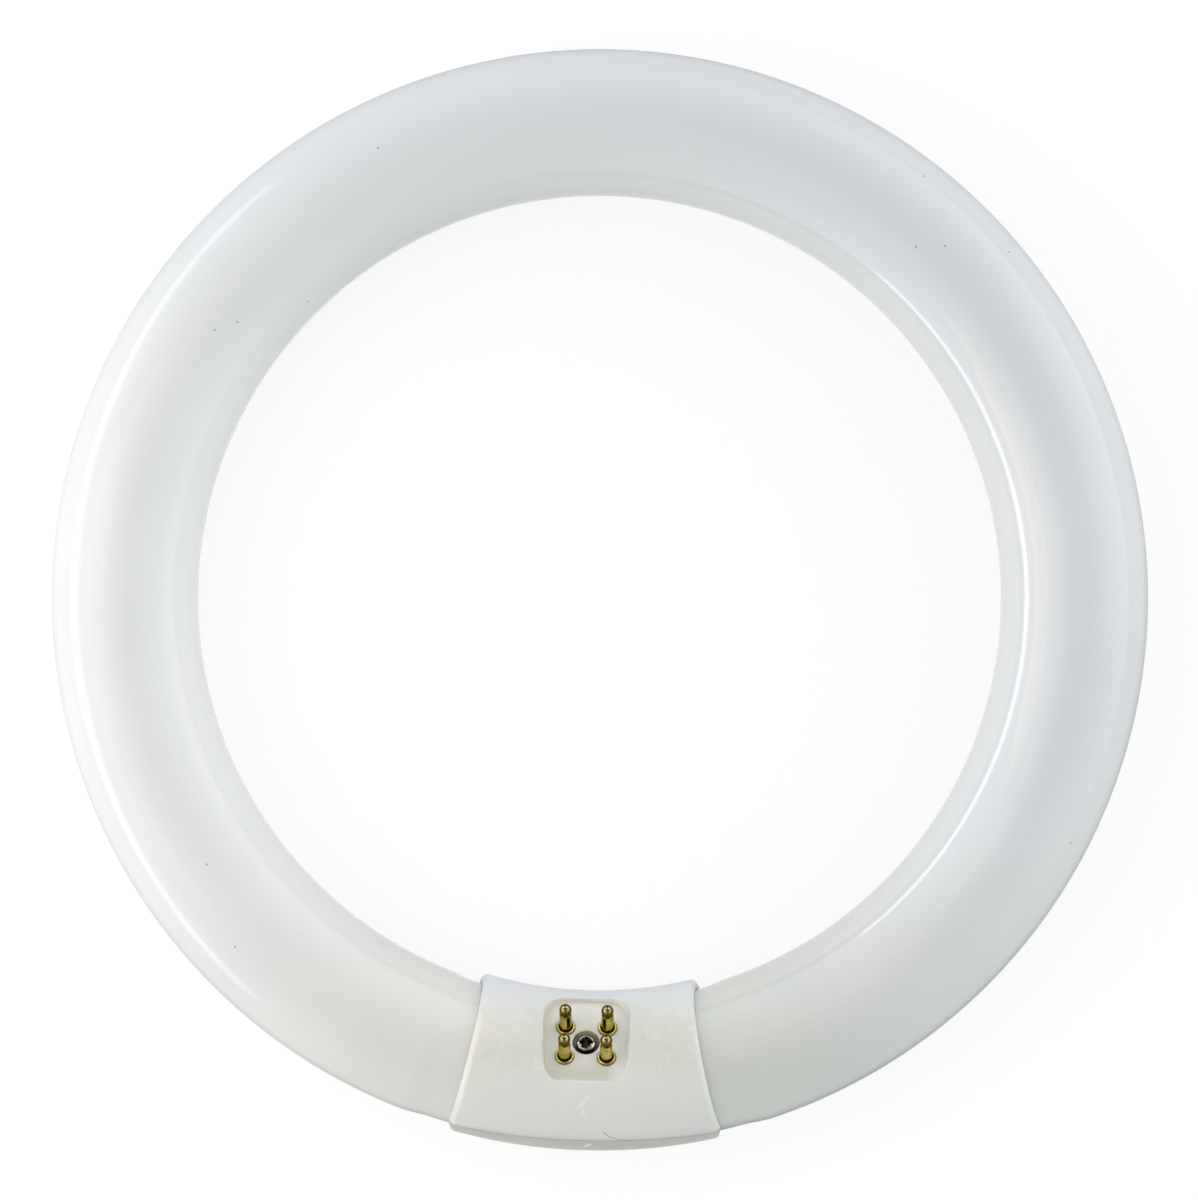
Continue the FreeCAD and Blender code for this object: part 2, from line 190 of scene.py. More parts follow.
# Floor
FLOOR_REACH = 6.0
FLOOR_BOUNCE = (0.35, 0.35, 0.35)   # where it only throws light back
FLOOR_SEEN = (0.3, 0.3, 0.3)        # where it is seen; this part takes the shadow
FLOOR_GLOW = 0.8                    # added to it there, so that it is white outside the shadow
WHITE = (1.0, 1.0, 1.0)

# Soft light from all round, weakest from the cap's side: compass angle that it comes from, and its colour
WORLD_LIGHT = {
    0: (1.26, 1.20, 1.22),
    45: (1.07, 1.04, 1.06),
    90: (0.53, 0.555, 0.60),
    135: (0.36, 0.41, 0.445),
    180: (0.65, 0.65, 0.675),
    225: (0.92, 0.86, 0.935),
    270: (0.14, 0.225, 0.22),
    315: (0.29, 0.355, 0.33),
}

# Lamps, in metres: a long strip at the left, and two soft ones above the left side
STRIP_DISTANCE = 0.385
STRIP_LEVEL = 57 * MM       # above the middle of the tube
STRIP_SIZE = (0.9, 0.07)
STRIP_RADIANCE = 2.88
STRIP_COLOUR = (1.0, 0.98, 0.965)
LEFT_AIM = (-0.09, -0.02)
NEAR_PLACE = (-0.30, -0.04, 0.28)
NEAR_SIZE = (0.3, 0.2)
NEAR_RADIANCE = 1.11
NEAR_COLOUR = (1.0, 0.855, 0.635)
OVER_PLACE = (-0.16, -0.04, 0.39)
OVER_PANES = [0.08, 0.16, 0.24, 0.32, 0.40]
OVER_PANE_STEP = 5 * MM
OVER_STRENGTH = 1.3 * 0.2 ** 2      # radiance times area, shared out over the panes
OVER_COLOUR = (1.0, 0.905, 0.90)

glass_low, glass_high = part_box("glass_tube")
tube_r = (glass_high.z - glass_low.z) / 2
middle_z = (glass_high.z + glass_low.z) / 2
ring_r = glass_high.x - tube_r
neck_r = tube_r - NECK_DEPTH
cap_ring_r = ring_r - CAP_INSET
cap_centre = Vector((0, -cap_ring_r, middle_z))
pocket_centre = cap_centre + AROUND_AXIS * POCKET_SHIFT + PIN_AXIS * (CAP_R - POCKET_DEPTH)


# Shader nodes

def find_socket(node, name):
    """Input by its place for i0, i1 and so on, or else by its name, with _ for a space."""
    if name[0] == "i" and name[1:].isdigit():
        return node.inputs[int(name[1:])]
    return node.inputs[name.replace("_", " ")]


def set_socket(tree, socket, value):
    """Links another node's output, or sets a plain value."""
    if isinstance(value, bpy.types.NodeSocket):
        tree.links.new(value, socket)
    else:
        socket.default_value = value


def add_node(tree, kind, settings=None, **inputs):
    """New shader node with its settings; each input is a plain value or an output to link."""
    node = tree.nodes.new(kind)
    for name, value in (settings or {}).items():
        setattr(node, name, value)
    for name, value in inputs.items():
        set_socket(tree, find_socket(node, name), value)
    return node


def opaque(colour):
    """A colour with the alpha that sockets take."""
    return (*colour, 1)


def math_node(tree, operation, first, second=0.0):
    return add_node(tree, "ShaderNodeMath", {"operation": operation}, i0=first, i1=second).outputs[0]


def product(tree, *values):
    total = values[0]
    for value in values[1:]:
        total = math_node(tree, "MULTIPLY", total, value)
    return total


def hypotenuse(tree, first, second):
    squares = math_node(tree, "ADD", product(tree, first, first), product(tree, second, second))
    return math_node(tree, "SQRT", squares)


def map_range(tree, value, low, high, to_low=0.0, to_high=1.0, smooth=False):
    settings = {"interpolation_type": "SMOOTHSTEP" if smooth else "LINEAR"}
    node = add_node(tree, "ShaderNodeMapRange", settings, i0=value, i1=low, i2=high, i3=to_low, i4=to_high)
    return node.outputs[0]


def vector_node(tree, operation, first, second=(0, 0, 0), output="Vector"):
    node = add_node(tree, "ShaderNodeVectorMath", {"operation": operation}, i0=first, i1=second)
    return node.outputs[output]


def scaled_vector(tree, vector, scale):
    node = add_node(tree, "ShaderNodeVectorMath", {"operation": "SCALE"}, i0=vector, Scale=scale)
    return node.outputs["Vector"]


def separate(tree, coords):
    return add_node(tree, "ShaderNodeSeparateXYZ", None, Vector=coords).outputs


def along_axis(tree, coords, start, axis):
    """Distance from a point, measured along an axis."""
    offset = vector_node(tree, "SUBTRACT", coords, tuple(start))
    return vector_node(tree, "DOT_PRODUCT", offset, tuple(axis), "Value")


def line_distance(tree, coords, start, end):
    """Distance from a straight stroke between two points."""
    run = end - start
    share = math_node(tree, "DIVIDE", along_axis(tree, coords, start, run), run.length_squared)
    foot = scaled_vector(tree, tuple(run), map_range(tree, share, 0.0, 1.0))
    offset = vector_node(tree, "SUBTRACT", coords, tuple(start))
    return vector_node(tree, "DISTANCE", offset, foot, "Value")


def smallest(tree, distances):
    nearest = distances[0]
    for distance in distances[1:]:
        nearest = math_node(tree, "MINIMUM", nearest, distance)
    return nearest


def strokes_distance(tree, coords, strokes):
    """Distance from the nearest of some strokes."""
    return smallest(tree, [line_distance(tree, coords, start, end) for start, end in strokes])


def occlusion(tree, distance):
    """1 in the open, less down in grooves and corners of the same piece."""
    settings = {"samples": OCCLUSION_SAMPLES, "only_local": True}
    return add_node(tree, "ShaderNodeAmbientOcclusion", settings, Distance=distance).outputs["AO"]


def mix_colour(tree, factor, first, second):
    """Each colour is a plain one or another node's output."""
    node = add_node(tree, "ShaderNodeMix", {"data_type": "RGBA"}, i0=factor)
    for place, value in ((6, first), (7, second)):
        plain = not isinstance(value, bpy.types.NodeSocket)
        set_socket(tree, node.inputs[place], opaque(value) if plain else value)
    return node.outputs[2]


def noise(tree, coords, scale, detail, roughness=0.5):
    inputs = {"Vector": coords, "Scale": scale, "Detail": detail, "Roughness": roughness}
    return add_node(tree, "ShaderNodeTexNoise", None, **inputs).outputs[0]


def uneven_tone(tree, clouds, cloud_share, grain):
    """Mottled mix of broad clouds and fine grain, from 0 to 1."""
    broad = product(tree, clouds, cloud_share)
    fine = product(tree, grain, 1 - cloud_share)
    return map_range(tree, math_node(tree, "ADD", broad, fine), *MOTTLE_RANGE)


def new_material(name):
    material = bpy.data.materials.new(name)
    material.use_nodes = True
    tree = material.node_tree
    shader = tree.nodes["Principled BSDF"]
    coords = tree.nodes.new("ShaderNodeTexCoord").outputs["Object"]
    return material, tree, shader, coords


def bump(tree, shader, height, distance, strength, normal=None):
    node = add_node(tree, "ShaderNodeBump", None, Height=height, Distance=distance, Strength=strength)
    if normal is not None:
        tree.links.new(normal, node.inputs["Normal"])
    tree.links.new(node.outputs[0], shader.inputs["Normal"])


# Camera

def make_camera():
    data = bpy.data.cameras.new("camera")
    data.sensor_width = SENSOR
    data.sensor_height = SENSOR
    data.lens = FOCAL_PX * SENSOR / max(PHOTO_WIDTH, PHOTO_HEIGHT)
    data.clip_start = CAMERA_CLIP
    camera = bpy.data.objects.new("camera", data)
    aim = Vector((*CAMERA_AIM, middle_z))
    camera.location = aim + Vector((CAMERA_SIDE, 0, CAMERA_HEIGHT))
    back = (camera.location - aim).normalized()
    right = Vector((0, 1, 0)).cross(back).normalized()
    upright = Matrix((right, back.cross(right), back)).transposed()
    roll = Matrix.Rotation(math.radians(CAMERA_ROLL), 3, "Z")
    camera.rotation_euler = (upright @ roll).to_euler()
    bpy.context.scene.collection.objects.link(camera)
    bpy.context.scene.camera = camera
    return camera


def photo_ray(camera, pixel):
    """Start and direction of the line of sight through a pixel of the photograph."""
    x = (pixel[0] - PHOTO_WIDTH / 2) / FOCAL_PX
    y = (PHOTO_HEIGHT / 2 - pixel[1]) / FOCAL_PX
    direction = camera.rotation_euler.to_matrix() @ Vector((x, y, -1))
    return Vector(camera.location), direction.normalized()


def point_on_ring(camera, pixel, centre_r, section_r):
    """Where the line of sight through a pixel first meets a round ring."""
    point, direction = photo_ray(camera, pixel)
    for _ in range(SIGHT_STEPS):
        across = math.hypot(point.x, point.y) - centre_r
        point = point + direction * (math.hypot(across, point.z - middle_z) - section_r)
    return point


def points_on_cap(camera, pixels):
    return [point_on_ring(camera, pixel, cap_ring_r, CAP_R) for pixel in pixels]


# Glass ring

def ring_frame(angle):
    """Outward and along directions at an angle from the cap's middle, towards +X."""
    outward = Vector((math.sin(angle), -math.cos(angle), 0))
    return outward, UP.cross(outward)


def end_stations():
    """Centre, outward direction and radius of each ring of points from a sealed end's tip to its shoulder."""
    shoulder = (GLASS_END + END_ROUND) / ring_r
    outward, along = ring_frame(shoulder)
    base = outward * ring_r + UP * middle_z
    dish_floor = END_ROUND - DISH_DEPTH
    profile = []
    for step in range(ROUND_STEPS):
        turn = 0.5 * math.pi * step / ROUND_STEPS
        profile.append((dish_floor + TIP_LENGTH - TIP_R * (1 - math.cos(turn)), TIP_R * math.sin(turn)))
    profile += [(dish_floor + TIP_LENGTH - TIP_R, TIP_R), (dish_floor, TIP_R)]
    profile += [(dish_floor, DISH_R - DISH_DEPTH), (END_ROUND, DISH_R)]
    for step in range(ROUND_STEPS + 1):
        turn = 0.5 * math.pi * step / ROUND_STEPS
        profile.append((END_ROUND * math.cos(turn), neck_r - END_ROUND + END_ROUND * math.sin(turn)))
    return [(base - along * reach, outward, radius) for reach, radius in profile]


def arc_station(angle, radius):
    outward, _ = ring_frame(angle)
    return outward * ring_r + UP * middle_z, outward, radius


def glass_stations():
    """All the rings of points, from one sealed end round to the other."""
    shoulder = (GLASS_END + END_ROUND) / ring_r
    neck = NECK_START / ring_r
    body = neck + NECK_TAPER / ring_r
    start = end_stations()
    for step in range(1, ROUND_STEPS):
        start.append(arc_station(shoulder + (neck - shoulder) * step / ROUND_STEPS, neck_r))
    for step in range(TAPER_STEPS):
        share = step / TAPER_STEPS
        ease = share * share * (3 - 2 * share)
        start.append(arc_station(neck + (body - neck) * share, neck_r + NECK_DEPTH * ease))
    middle = [
        arc_station(body + (2 * math.pi - 2 * body) * step / RING_STEPS, tube_r)
        for step in range(RING_STEPS + 1)
    ]
    finish = []
    for centre, outward, radius in reversed(start):
        mirrored = Vector((-centre.x, centre.y, centre.z))
        finish.append((mirrored, Vector((-outward.x, outward.y, 0)), radius))
    return start + middle + finish


def swept_mesh(name, stations, sides):
    """Closed mesh through rings of points about each station's centre."""
    points, faces, rings = [], [], []
    for centre, outward, radius in stations:
        if radius == 0:
            rings.append([len(points)])
            points.append(centre)
            continue
        ring = []
        for side in range(sides):
            turn = 2 * math.pi * side / sides
            ring.append(len(points))
            points.append(centre + outward * (radius * math.cos(turn)) + UP * (radius * math.sin(turn)))
        rings.append(ring)
    for first, second in zip(rings, rings[1:]):
        for side in range(sides):
            after = (side + 1) % sides
            if len(first) == 1:
                faces.append((first[0], second[after], second[side]))
            elif len(second) == 1:
                faces.append((first[side], first[after], second[0]))
            else:
                faces.append((first[side], first[after], second[after], second[side]))
    mesh = bpy.data.meshes.new(name)
    mesh.from_pydata(points, [], faces)
    mesh.validate()
    mesh.shade_smooth()
    return mesh


def glass_material(camera):
    """White coating behind clear glass, faintly uneven, darker towards the ends, with a few dark specks, and
    with painted shade and painted light in places.
    """
    material, tree, shader, coords = new_material("coated_glass")
    clouds = noise(tree, coords, *GLASS_CLOUDS)
    tone = uneven_tone(tree, clouds, GLASS_CLOUD_SHARE, noise(tree, coords, *GLASS_GRAIN))
    colour = mix_colour(tree, tone, *GLASS_TONES)
    place = separate(tree, coords)
    sideways = math_node(tree, "ABSOLUTE", place["X"])
    outwards = math_node(tree, "MULTIPLY", place["Y"], -1.0)
    plan_r = hypotenuse(tree, sideways, outwards)

    # painted shade: cooler and dimmer on the far side; darker and warmer towards the two ends, where such
    # tubes blacken, and darker still at the right end by painted shade
    far_shade = map_range(tree, place["Y"], 20 * MM, 90 * MM, 0.0, 0.8, smooth=True)
    colour = mix_colour(tree, far_shade, colour, GLASS_FAR_SIDE_PAINTED_SHADE)
    angle = math_node(tree, "ARCTAN2", sideways, outwards)
    ends = map_range(tree, angle, math.radians(12), math.radians(65), 1.0, 0.0, smooth=True)
    right = map_range(tree, place["X"], -20 * MM, 20 * MM)
    left_end = mix_colour(tree, tone, *GLASS_LEFT_END)
    right_end = mix_colour(tree, tone, *GLASS_RIGHT_END)
    colour = mix_colour(tree, ends, colour, mix_colour(tree, right, left_end, right_end))

    # painted shade: a dark band low on the outer side, strongest to the right of the cap
    outer_side = map_range(tree, plan_r, ring_r, ring_r + 0.5 * tube_r)
    band = map_range(tree, place["Z"], middle_z, middle_z + 0.6 * tube_r, 0.38, 0.0, smooth=True)
    rightward = map_range(tree, place["X"], -30 * MM, 30 * MM, 0.6, 1.0)
    capward = map_range(tree, outwards, -40 * MM, 20 * MM, 0.4, 1.0)
    colour = mix_colour(tree, product(tree, band, outer_side, rightward, capward), colour, GLASS_LOW_PAINTED_SHADE)

    # painted light: a whiter tone on the inner side at the left
    inner_edge = map_range(
        tree, plan_r, ring_r - 0.85 * tube_r, ring_r - 0.5 * tube_r, 1.0, 0.0, smooth=True,
    )
    inner_light = product(tree, inner_edge, map_range(tree, place["X"], -85 * MM, -40 * MM, 0.9, 0.0))
    colour = mix_colour(tree, inner_light, colour, GLASS_INNER_PAINTED_LIGHT)

    spots = [point_on_ring(camera, pixel, ring_r, tube_r) for pixel in GLASS_SPECKS]
    nearest = smallest(tree, [vector_node(tree, "DISTANCE", coords, tuple(spot), "Value") for spot in spots])
    speck = map_range(tree, nearest, 0.5 * SPECK_R, SPECK_R, 0.75, 0.0, smooth=True)
    colour = mix_colour(tree, speck, colour, GLASS_SPECK)
    tree.links.new(colour, shader.inputs["Base Color"])

    # smeared, and hazier to the left
    smear = map_range(tree, noise(tree, coords, *GLASS_SMEARS), 0.3, 0.7, 0.05, 0.09)
    haze = map_range(tree, place["X"], -60 * MM, 0.0, 0.1, 0.0)
    tree.links.new(math_node(tree, "ADD", smear, haze), shader.inputs["Roughness"])
    shader.inputs["IOR"].default_value = GLASS_IOR

    # less gloss at the outer rim, more on the inner side at the right
    facing = add_node(tree, "ShaderNodeLayerWeight", None, Blend=0.5).outputs["Facing"]
    dull = product(tree, map_range(tree, facing, 0.45, 0.75, 0.0, 0.5, smooth=True), outer_side)
    inner_side = map_range(
        tree, plan_r, ring_r - 0.58 * tube_r, ring_r - 0.48 * tube_r, 1.0, 0.0, smooth=True,
    )
    gloss = product(tree, inner_side, map_range(tree, place["X"], -30 * MM, 60 * MM, 0.0, 0.25))
    gloss = math_node(tree, "ADD", gloss, GLASS_GLOSS)
    tree.links.new(math_node(tree, "SUBTRACT", gloss, dull), shader.inputs["Specular IOR Level"])
    bump(tree, shader, noise(tree, coords, *GLASS_WAVES), *GLASS_WAVE_RELIEF)
    return material


def make_glass(camera):
    mesh = swept_mesh("coated_glass_ring", glass_stations(), TUBE_SIDES)
    glass = bpy.data.objects.new("coated_glass_ring", mesh)
    bpy.context.scene.collection.objects.link(glass)
    mesh.materials.append(glass_material(camera))
    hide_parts("glass_tube")
    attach(glass, "root")


# Cap, pins, screw and leads: the frame's own meshes with finished materials

def pocket_mask(tree, place, outwards, around):
    """1 inside the pocket, 0 on the cap's outer surface."""
    near_x = math_node(tree, "ABSOLUTE", place["X"])
    near_x = map_range(tree, near_x, 0.45 * POCKET_LENGTH, 0.57 * POCKET_LENGTH, 1.0, 0.0, smooth=True)
    near_y = math_node(tree, "ABSOLUTE", around)
    near_y = map_range(tree, near_y, 0.45 * POCKET_WIDTH, 0.57 * POCKET_WIDTH, 1.0, 0.0, smooth=True)
    across = math_node(tree, "SUBTRACT", hypotenuse(tree, place["X"], outwards), cap_ring_r)
    above = math_node(tree, "SUBTRACT", place["Z"], cap_centre.z)
    from_ring = hypotenuse(tree, across, above)
    below = map_range(tree, from_ring, CAP_R - 0.4 * MM, CAP_R - 0.1 * MM, 1.0, 0.0)
    return product(tree, near_x, near_y, below)


def pocket_lining(tree, place, height, around):
    """The pocket's cream floor, paler than the cap's plastic by painted light, with painted shade at its
    lower end and painted light at the right, and its walls, the left one darker by painted shade and the
    right one paler by painted light.
    """
    low = map_range(tree, around, -0.2 * POCKET_WIDTH, -0.42 * POCKET_WIDTH, smooth=True)
    lining = mix_colour(tree, low, POCKET_FLOOR, POCKET_FLOOR_LOW_PAINTED_SHADE)
    lining = mix_colour(tree, map_range(tree, place["X"], 4 * MM, 7 * MM, 0.0, 0.95), lining, POCKET_RIGHT_PAINTED_LIGHT)
    wall = mix_colour(tree, map_range(tree, place["X"], -6 * MM, 4 * MM), POCKET_LEFT_WALL_PAINTED_SHADE, POCKET_RIGHT_PAINTED_LIGHT)
    return mix_colour(tree, map_range(tree, height, 0.05 * MM, 0.3 * MM), lining, wall)


def plastic_material(camera):
    """Warm white moulded plastic: clouded, yellowed in places and scuffed, with painted light and shade,
    darkest round the metal.
    """
    material, tree, shader, coords = new_material("cap_plastic")
    clouds = noise(tree, coords, *PLASTIC_CLOUDS)
    tone = uneven_tone(tree, clouds, PLASTIC_CLOUD_SHARE, noise(tree, coords, *PLASTIC_GRAIN))
    colour = mix_colour(tree, tone, *PLASTIC_TONES)
    place = separate(tree, coords)
    outwards = math_node(tree, "MULTIPLY", place["Y"], -1.0)
    height = along_axis(tree, coords, pocket_centre, PIN_AXIS)
    around = along_axis(tree, coords, pocket_centre, AROUND_AXIS)
    parting = along_axis(tree, coords, cap_centre, PIN_AXIS)

    # yellowed beside the left mouth; painted light: paler low down, and a cool painted light at the inner
    # edge
    angle = math_node(tree, "ARCTAN2", place["X"], outwards)
    beside = math_node(tree, "ABSOLUTE", math_node(tree, "ADD", angle, YELLOWED_ANGLE))
    band = map_range(tree, beside, 0.02, 0.05, 0.55, 0.0, smooth=True)
    band = product(tree, band, map_range(tree, clouds, 0.35, 0.6))
    colour = mix_colour(tree, band, colour, PLASTIC_YELLOWED)
    lower = map_range(tree, around, -3 * MM, -11 * MM, 0.0, 0.7, smooth=True)
    colour = mix_colour(tree, lower, colour, PLASTIC_LOWER_PAINTED_LIGHT)
    upper = map_range(tree, around, 2 * MM, 12 * MM, 0.0, 0.9)
    colour = mix_colour(tree, upper, colour, PLASTIC_UPPER_PAINTED_LIGHT)

    inside = product(tree, pocket_mask(tree, place, outwards, around), POCKET_WEIGHT)
    colour = mix_colour(tree, inside, colour, pocket_lining(tree, place, height, around))

    # painted shade on the rear half, and the line where the halves meet
    rear_shade = map_range(tree, parting, -0.1 * MM, 0.0, 0.7, 0.0)
    colour = mix_colour(tree, rear_shade, colour, PLASTIC_REAR_PAINTED_SHADE)
    from_line = math_node(tree, "ABSOLUTE", parting)
    line = map_range(tree, from_line, 0.03 * MM, 0.12 * MM, 0.3, 0.0, smooth=True)
    colour = mix_colour(tree, line, colour, PLASTIC_PARTING)

    # scuffs
    flecks = strokes_distance(tree, coords, [points_on_cap(camera, stroke) for stroke in CAP_FLECKS])
    fleck = map_range(tree, flecks, 0.18 * MM, 0.5 * MM, 0.95, 0.0, smooth=True)
    colour = mix_colour(tree, fleck, colour, PLASTIC_FLECK)
    bend = points_on_cap(camera, CAP_HAIRLINE)
    hairline = strokes_distance(tree, coords, list(zip(bend, bend[1:])))
    scratch = map_range(tree, hairline, 0.05 * MM, 0.18 * MM, 0.7, 0.0)
    colour = mix_colour(tree, scratch, colour, PLASTIC_HAIRLINE)

    # painted shade in the screw's counterbore, lighter towards its upper side, and round each collar, on the
    # front half only
    front = map_range(tree, parting, 2 * MM, 3 * MM)
    from_screw = hypotenuse(tree, place["X"], around)
    bore = map_range(tree, from_screw, 1.02 * COUNTERBORE_R, 1.06 * COUNTERBORE_R, 1.0, 0.0)
    bore = product(tree, front, bore, map_range(tree, height, -0.5 * MM, -0.05 * MM, 0.9, 0.0))
    bore_upper_side = map_range(tree, around, -0.2 * COUNTERBORE_R, COUNTERBORE_R, smooth=True)
    colour = mix_colour(tree, bore, colour, mix_colour(tree, bore_upper_side, *BORE_PAINTED_SHADE))
    pin_x = math_node(tree, "SUBTRACT", math_node(tree, "ABSOLUTE", place["X"]), PIN_X)
    pin_y = math_node(tree, "SUBTRACT", math_node(tree, "ABSOLUTE", around), PIN_Y)
    from_pin = hypotenuse(tree, pin_x, pin_y)
    ring = map_range(tree, from_pin, 1.04 * COLLAR_R, 1.22 * COLLAR_R, 0.95, 0.0, smooth=True)
    ring = product(tree, front, ring, map_range(tree, height, 0.1 * MM, 0.4 * MM, 1.0, 0.0))
    colour = mix_colour(tree, ring, colour, COLLAR_PAINTED_SHADE)

    tree.links.new(colour, shader.inputs["Base Color"])
    tree.links.new(map_range(tree, clouds, 0.3, 0.7, 0.36, 0.5), shader.inputs["Roughness"])
    shader.inputs["Subsurface Weight"].default_value = PLASTIC_SUBSURFACE
    shader.inputs["Subsurface Radius"].default_value = SUBSURFACE_RADIUS
    shader.inputs["Subsurface Scale"].default_value = SUBSURFACE_SCALE
    soft_edge = add_node(tree, "ShaderNodeBevel", {"samples": BEVEL_SAMPLES}, Radius=PLASTIC_EDGE_R)
    bump(tree, shader, noise(tree, coords, *PLASTIC_PITS), *PLASTIC_PIT_RELIEF, soft_edge.outputs[0])
    return material


def brass_material():
    """Turned brass, tarnished in patches and dark in its grooves, with painted reflections and highlights on
    the inner pair and the tips.
    """
    material, tree, shader, coords = new_material("pin_brass")
    patches = noise(tree, coords, *BRASS_PATCHES)
    colour = mix_colour(tree, map_range(tree, patches, *PATCH_RANGE), *BRASS_TONES)
    height = along_axis(tree, coords, pocket_centre, PIN_AXIS)
    around = along_axis(tree, coords, pocket_centre, AROUND_AXIS)

    # tarnish and painted shade in the grooves, less of it at the neck
    groove_tarnish_and_shade = map_range(tree, occlusion(tree, GROOVE_REACH), 0.4, 0.9, 0.95, 0.0)
    from_neck = math_node(tree, "ABSOLUTE", math_node(tree, "SUBTRACT", height, PIN_NECK))
    groove_tarnish_and_shade = product(tree, groove_tarnish_and_shade, map_range(tree, from_neck, 0.2 * MM, 0.5 * MM, 0.65, 1.0))
    colour = mix_colour(tree, groove_tarnish_and_shade, colour, BRASS_GROOVE_TARNISH_AND_SHADE)

    # painted dark reflection down the facing sides of the inner pair
    side = math_node(tree, "ABSOLUTE", separate(tree, coords)["X"])
    side = math_node(tree, "DIVIDE", math_node(tree, "SUBTRACT", PIN_X, side), PIN_R)
    dark_reflection = product(
        tree,
        map_range(tree, side, 0.12, 0.28),
        map_range(tree, side, 0.7, 0.85, 1.0, 0.0),
        map_range(tree, height, 1.0 * MM, 1.6 * MM),
        map_range(tree, height, 4.6 * MM, PIN_NECK, 1.0, 0.0),
        map_range(tree, around, 0.0, 0.1 * MM),
    )
    colour = mix_colour(tree, dark_reflection, colour, BRASS_PAINTED_REFLECTION)

    # each tip with a painted highlight on its lower side, a dark spot in a dent there and a painted dark
    # reflection in a ring round it
    row = math_node(tree, "SUBTRACT", around, product(tree, math_node(tree, "SIGN", around), PIN_Y))
    row = math_node(tree, "ADD", product(tree, row, 1 / PIN_R), TIP_SPOT_SHIFT)
    off_axis = hypotenuse(tree, side, row)
    tip = map_range(tree, height, PIN_NECK + 0.3 * MM, PIN_NECK + 0.5 * MM)
    tip_highlight = product(tree, tip, map_range(tree, off_axis, 0.4, 0.6, 0.7, 0.0))
    colour = mix_colour(tree, tip_highlight, colour, BRASS_TIP_PAINTED_HIGHLIGHT)
    tip_reflection = product(tree, tip, map_range(tree, off_axis, 0.44, 0.64, 0.0, 0.92))
    colour = mix_colour(tree, tip_reflection, colour, BRASS_TIP_PAINTED_REFLECTION)
    dent = product(tree, tip, map_range(tree, off_axis, 0.12, 0.3, 0.92, 0.0))
    colour = mix_colour(tree, dent, colour, BRASS_DENT)

    tree.links.new(colour, shader.inputs["Base Color"])
    shader.inputs["Metallic"].default_value = 1.0
    shader.inputs["Specular Tint"].default_value = opaque(BRASS_SHEEN)
    tree.links.new(map_range(tree, patches, 0.3, 0.7, 0.24, 0.12), shader.inputs["Roughness"])
    rings = math_node(tree, "SINE", product(tree, height, 2 * math.pi / TURNING_PITCH))
    bump(tree, shader, rings, *BRASS_TURNING_RELIEF)
    return material


def steel_material():
    """Plated screw steel, with painted shade down in the recess and below the head's top, and a painted
    highlight on its rim.
    """
    material, tree, shader, coords = new_material("screw_steel")
    patches = noise(tree, coords, *STEEL_PATCHES)
    colour = mix_colour(tree, map_range(tree, patches, *PATCH_RANGE), *STEEL_TONES)
    height = along_axis(tree, coords, (0, 0, 0), PIN_AXIS)
    top = max(v.co.dot(PIN_AXIS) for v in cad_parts["clamp_screw"].data.vertices)
    # painted shade below the head's top and in the ragged recess
    recess_shade = map_range(tree, height, top - 0.45 * MM, top - 0.15 * MM, 1.0, 0.0, smooth=True)
    offset = vector_node(tree, "SUBTRACT", coords, tuple(pocket_centre))
    off_axis = vector_node(tree, "CROSS_PRODUCT", offset, tuple(PIN_AXIS))
    off_axis = vector_node(tree, "LENGTH", off_axis, output="Value")
    ragged = map_range(tree, noise(tree, coords, *STEEL_SMEARS), 0.3, 0.7, -0.45 * MM, 0.45 * MM)
    smear = map_range(tree, math_node(tree, "ADD", off_axis, ragged), 1.05 * MM, 1.2 * MM, 1.0, 0.0)
    recess_shade = math_node(tree, "MAXIMUM", recess_shade, smear)
    colour = mix_colour(tree, recess_shade, colour, STEEL_RECESS_PAINTED_SHADE)
    # painted highlight on the head's rim
    rim = map_range(tree, off_axis, 1.36 * MM, 1.46 * MM)
    rim = product(tree, rim, math_node(tree, "SUBTRACT", 1.0, recess_shade))
    colour = mix_colour(tree, rim, colour, STEEL_RIM_PAINTED_HIGHLIGHT)
    tree.links.new(colour, shader.inputs["Base Color"])
    shader.inputs["Metallic"].default_value = 1.0
    tree.links.new(map_range(tree, patches, 0.3, 0.7, 0.16, 0.3), shader.inputs["Roughness"])
    bump(tree, shader, patches, *STEEL_PATCH_RELIEF)
    return material


def lead_material():
    """Drawn wire with a dull oxide skin."""
    material, tree, shader, coords = new_material("lead_metal")
    colour = mix_colour(tree, noise(tree, coords, *LEAD_PATCHES), *LEAD_TONES)
    tree.links.new(colour, shader.inputs["Base Color"])
    shader.inputs["Metallic"].default_value = 1.0
    shader.inputs["Roughness"].default_value = LEAD_ROUGHNESS
    return material


def dress_frame(camera):
    finishes = {
        "cap_": plastic_material(camera),
        "contact_pin_": brass_material(),
        "clamp_screw": steel_material(),
        "lead_wire_": lead_material(),
    }
    for name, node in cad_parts.items():
        for prefix, material in finishes.items():
            if name.startswith(prefix):
                for slot in node.material_slots:
                    slot.material = material


# Floor, world and lamps

def seen_rays(tree):
    """1 for the camera's own rays and for what gloss and glass show of the background."""
    path = tree.nodes.new("ShaderNodeLightPath")
    seen = math_node(tree, "MAXIMUM", path.outputs["Is Camera Ray"], path.outputs["Is Glossy Ray"])
    return math_node(tree, "MAXIMUM", seen, path.outputs["Is Transmission Ray"])


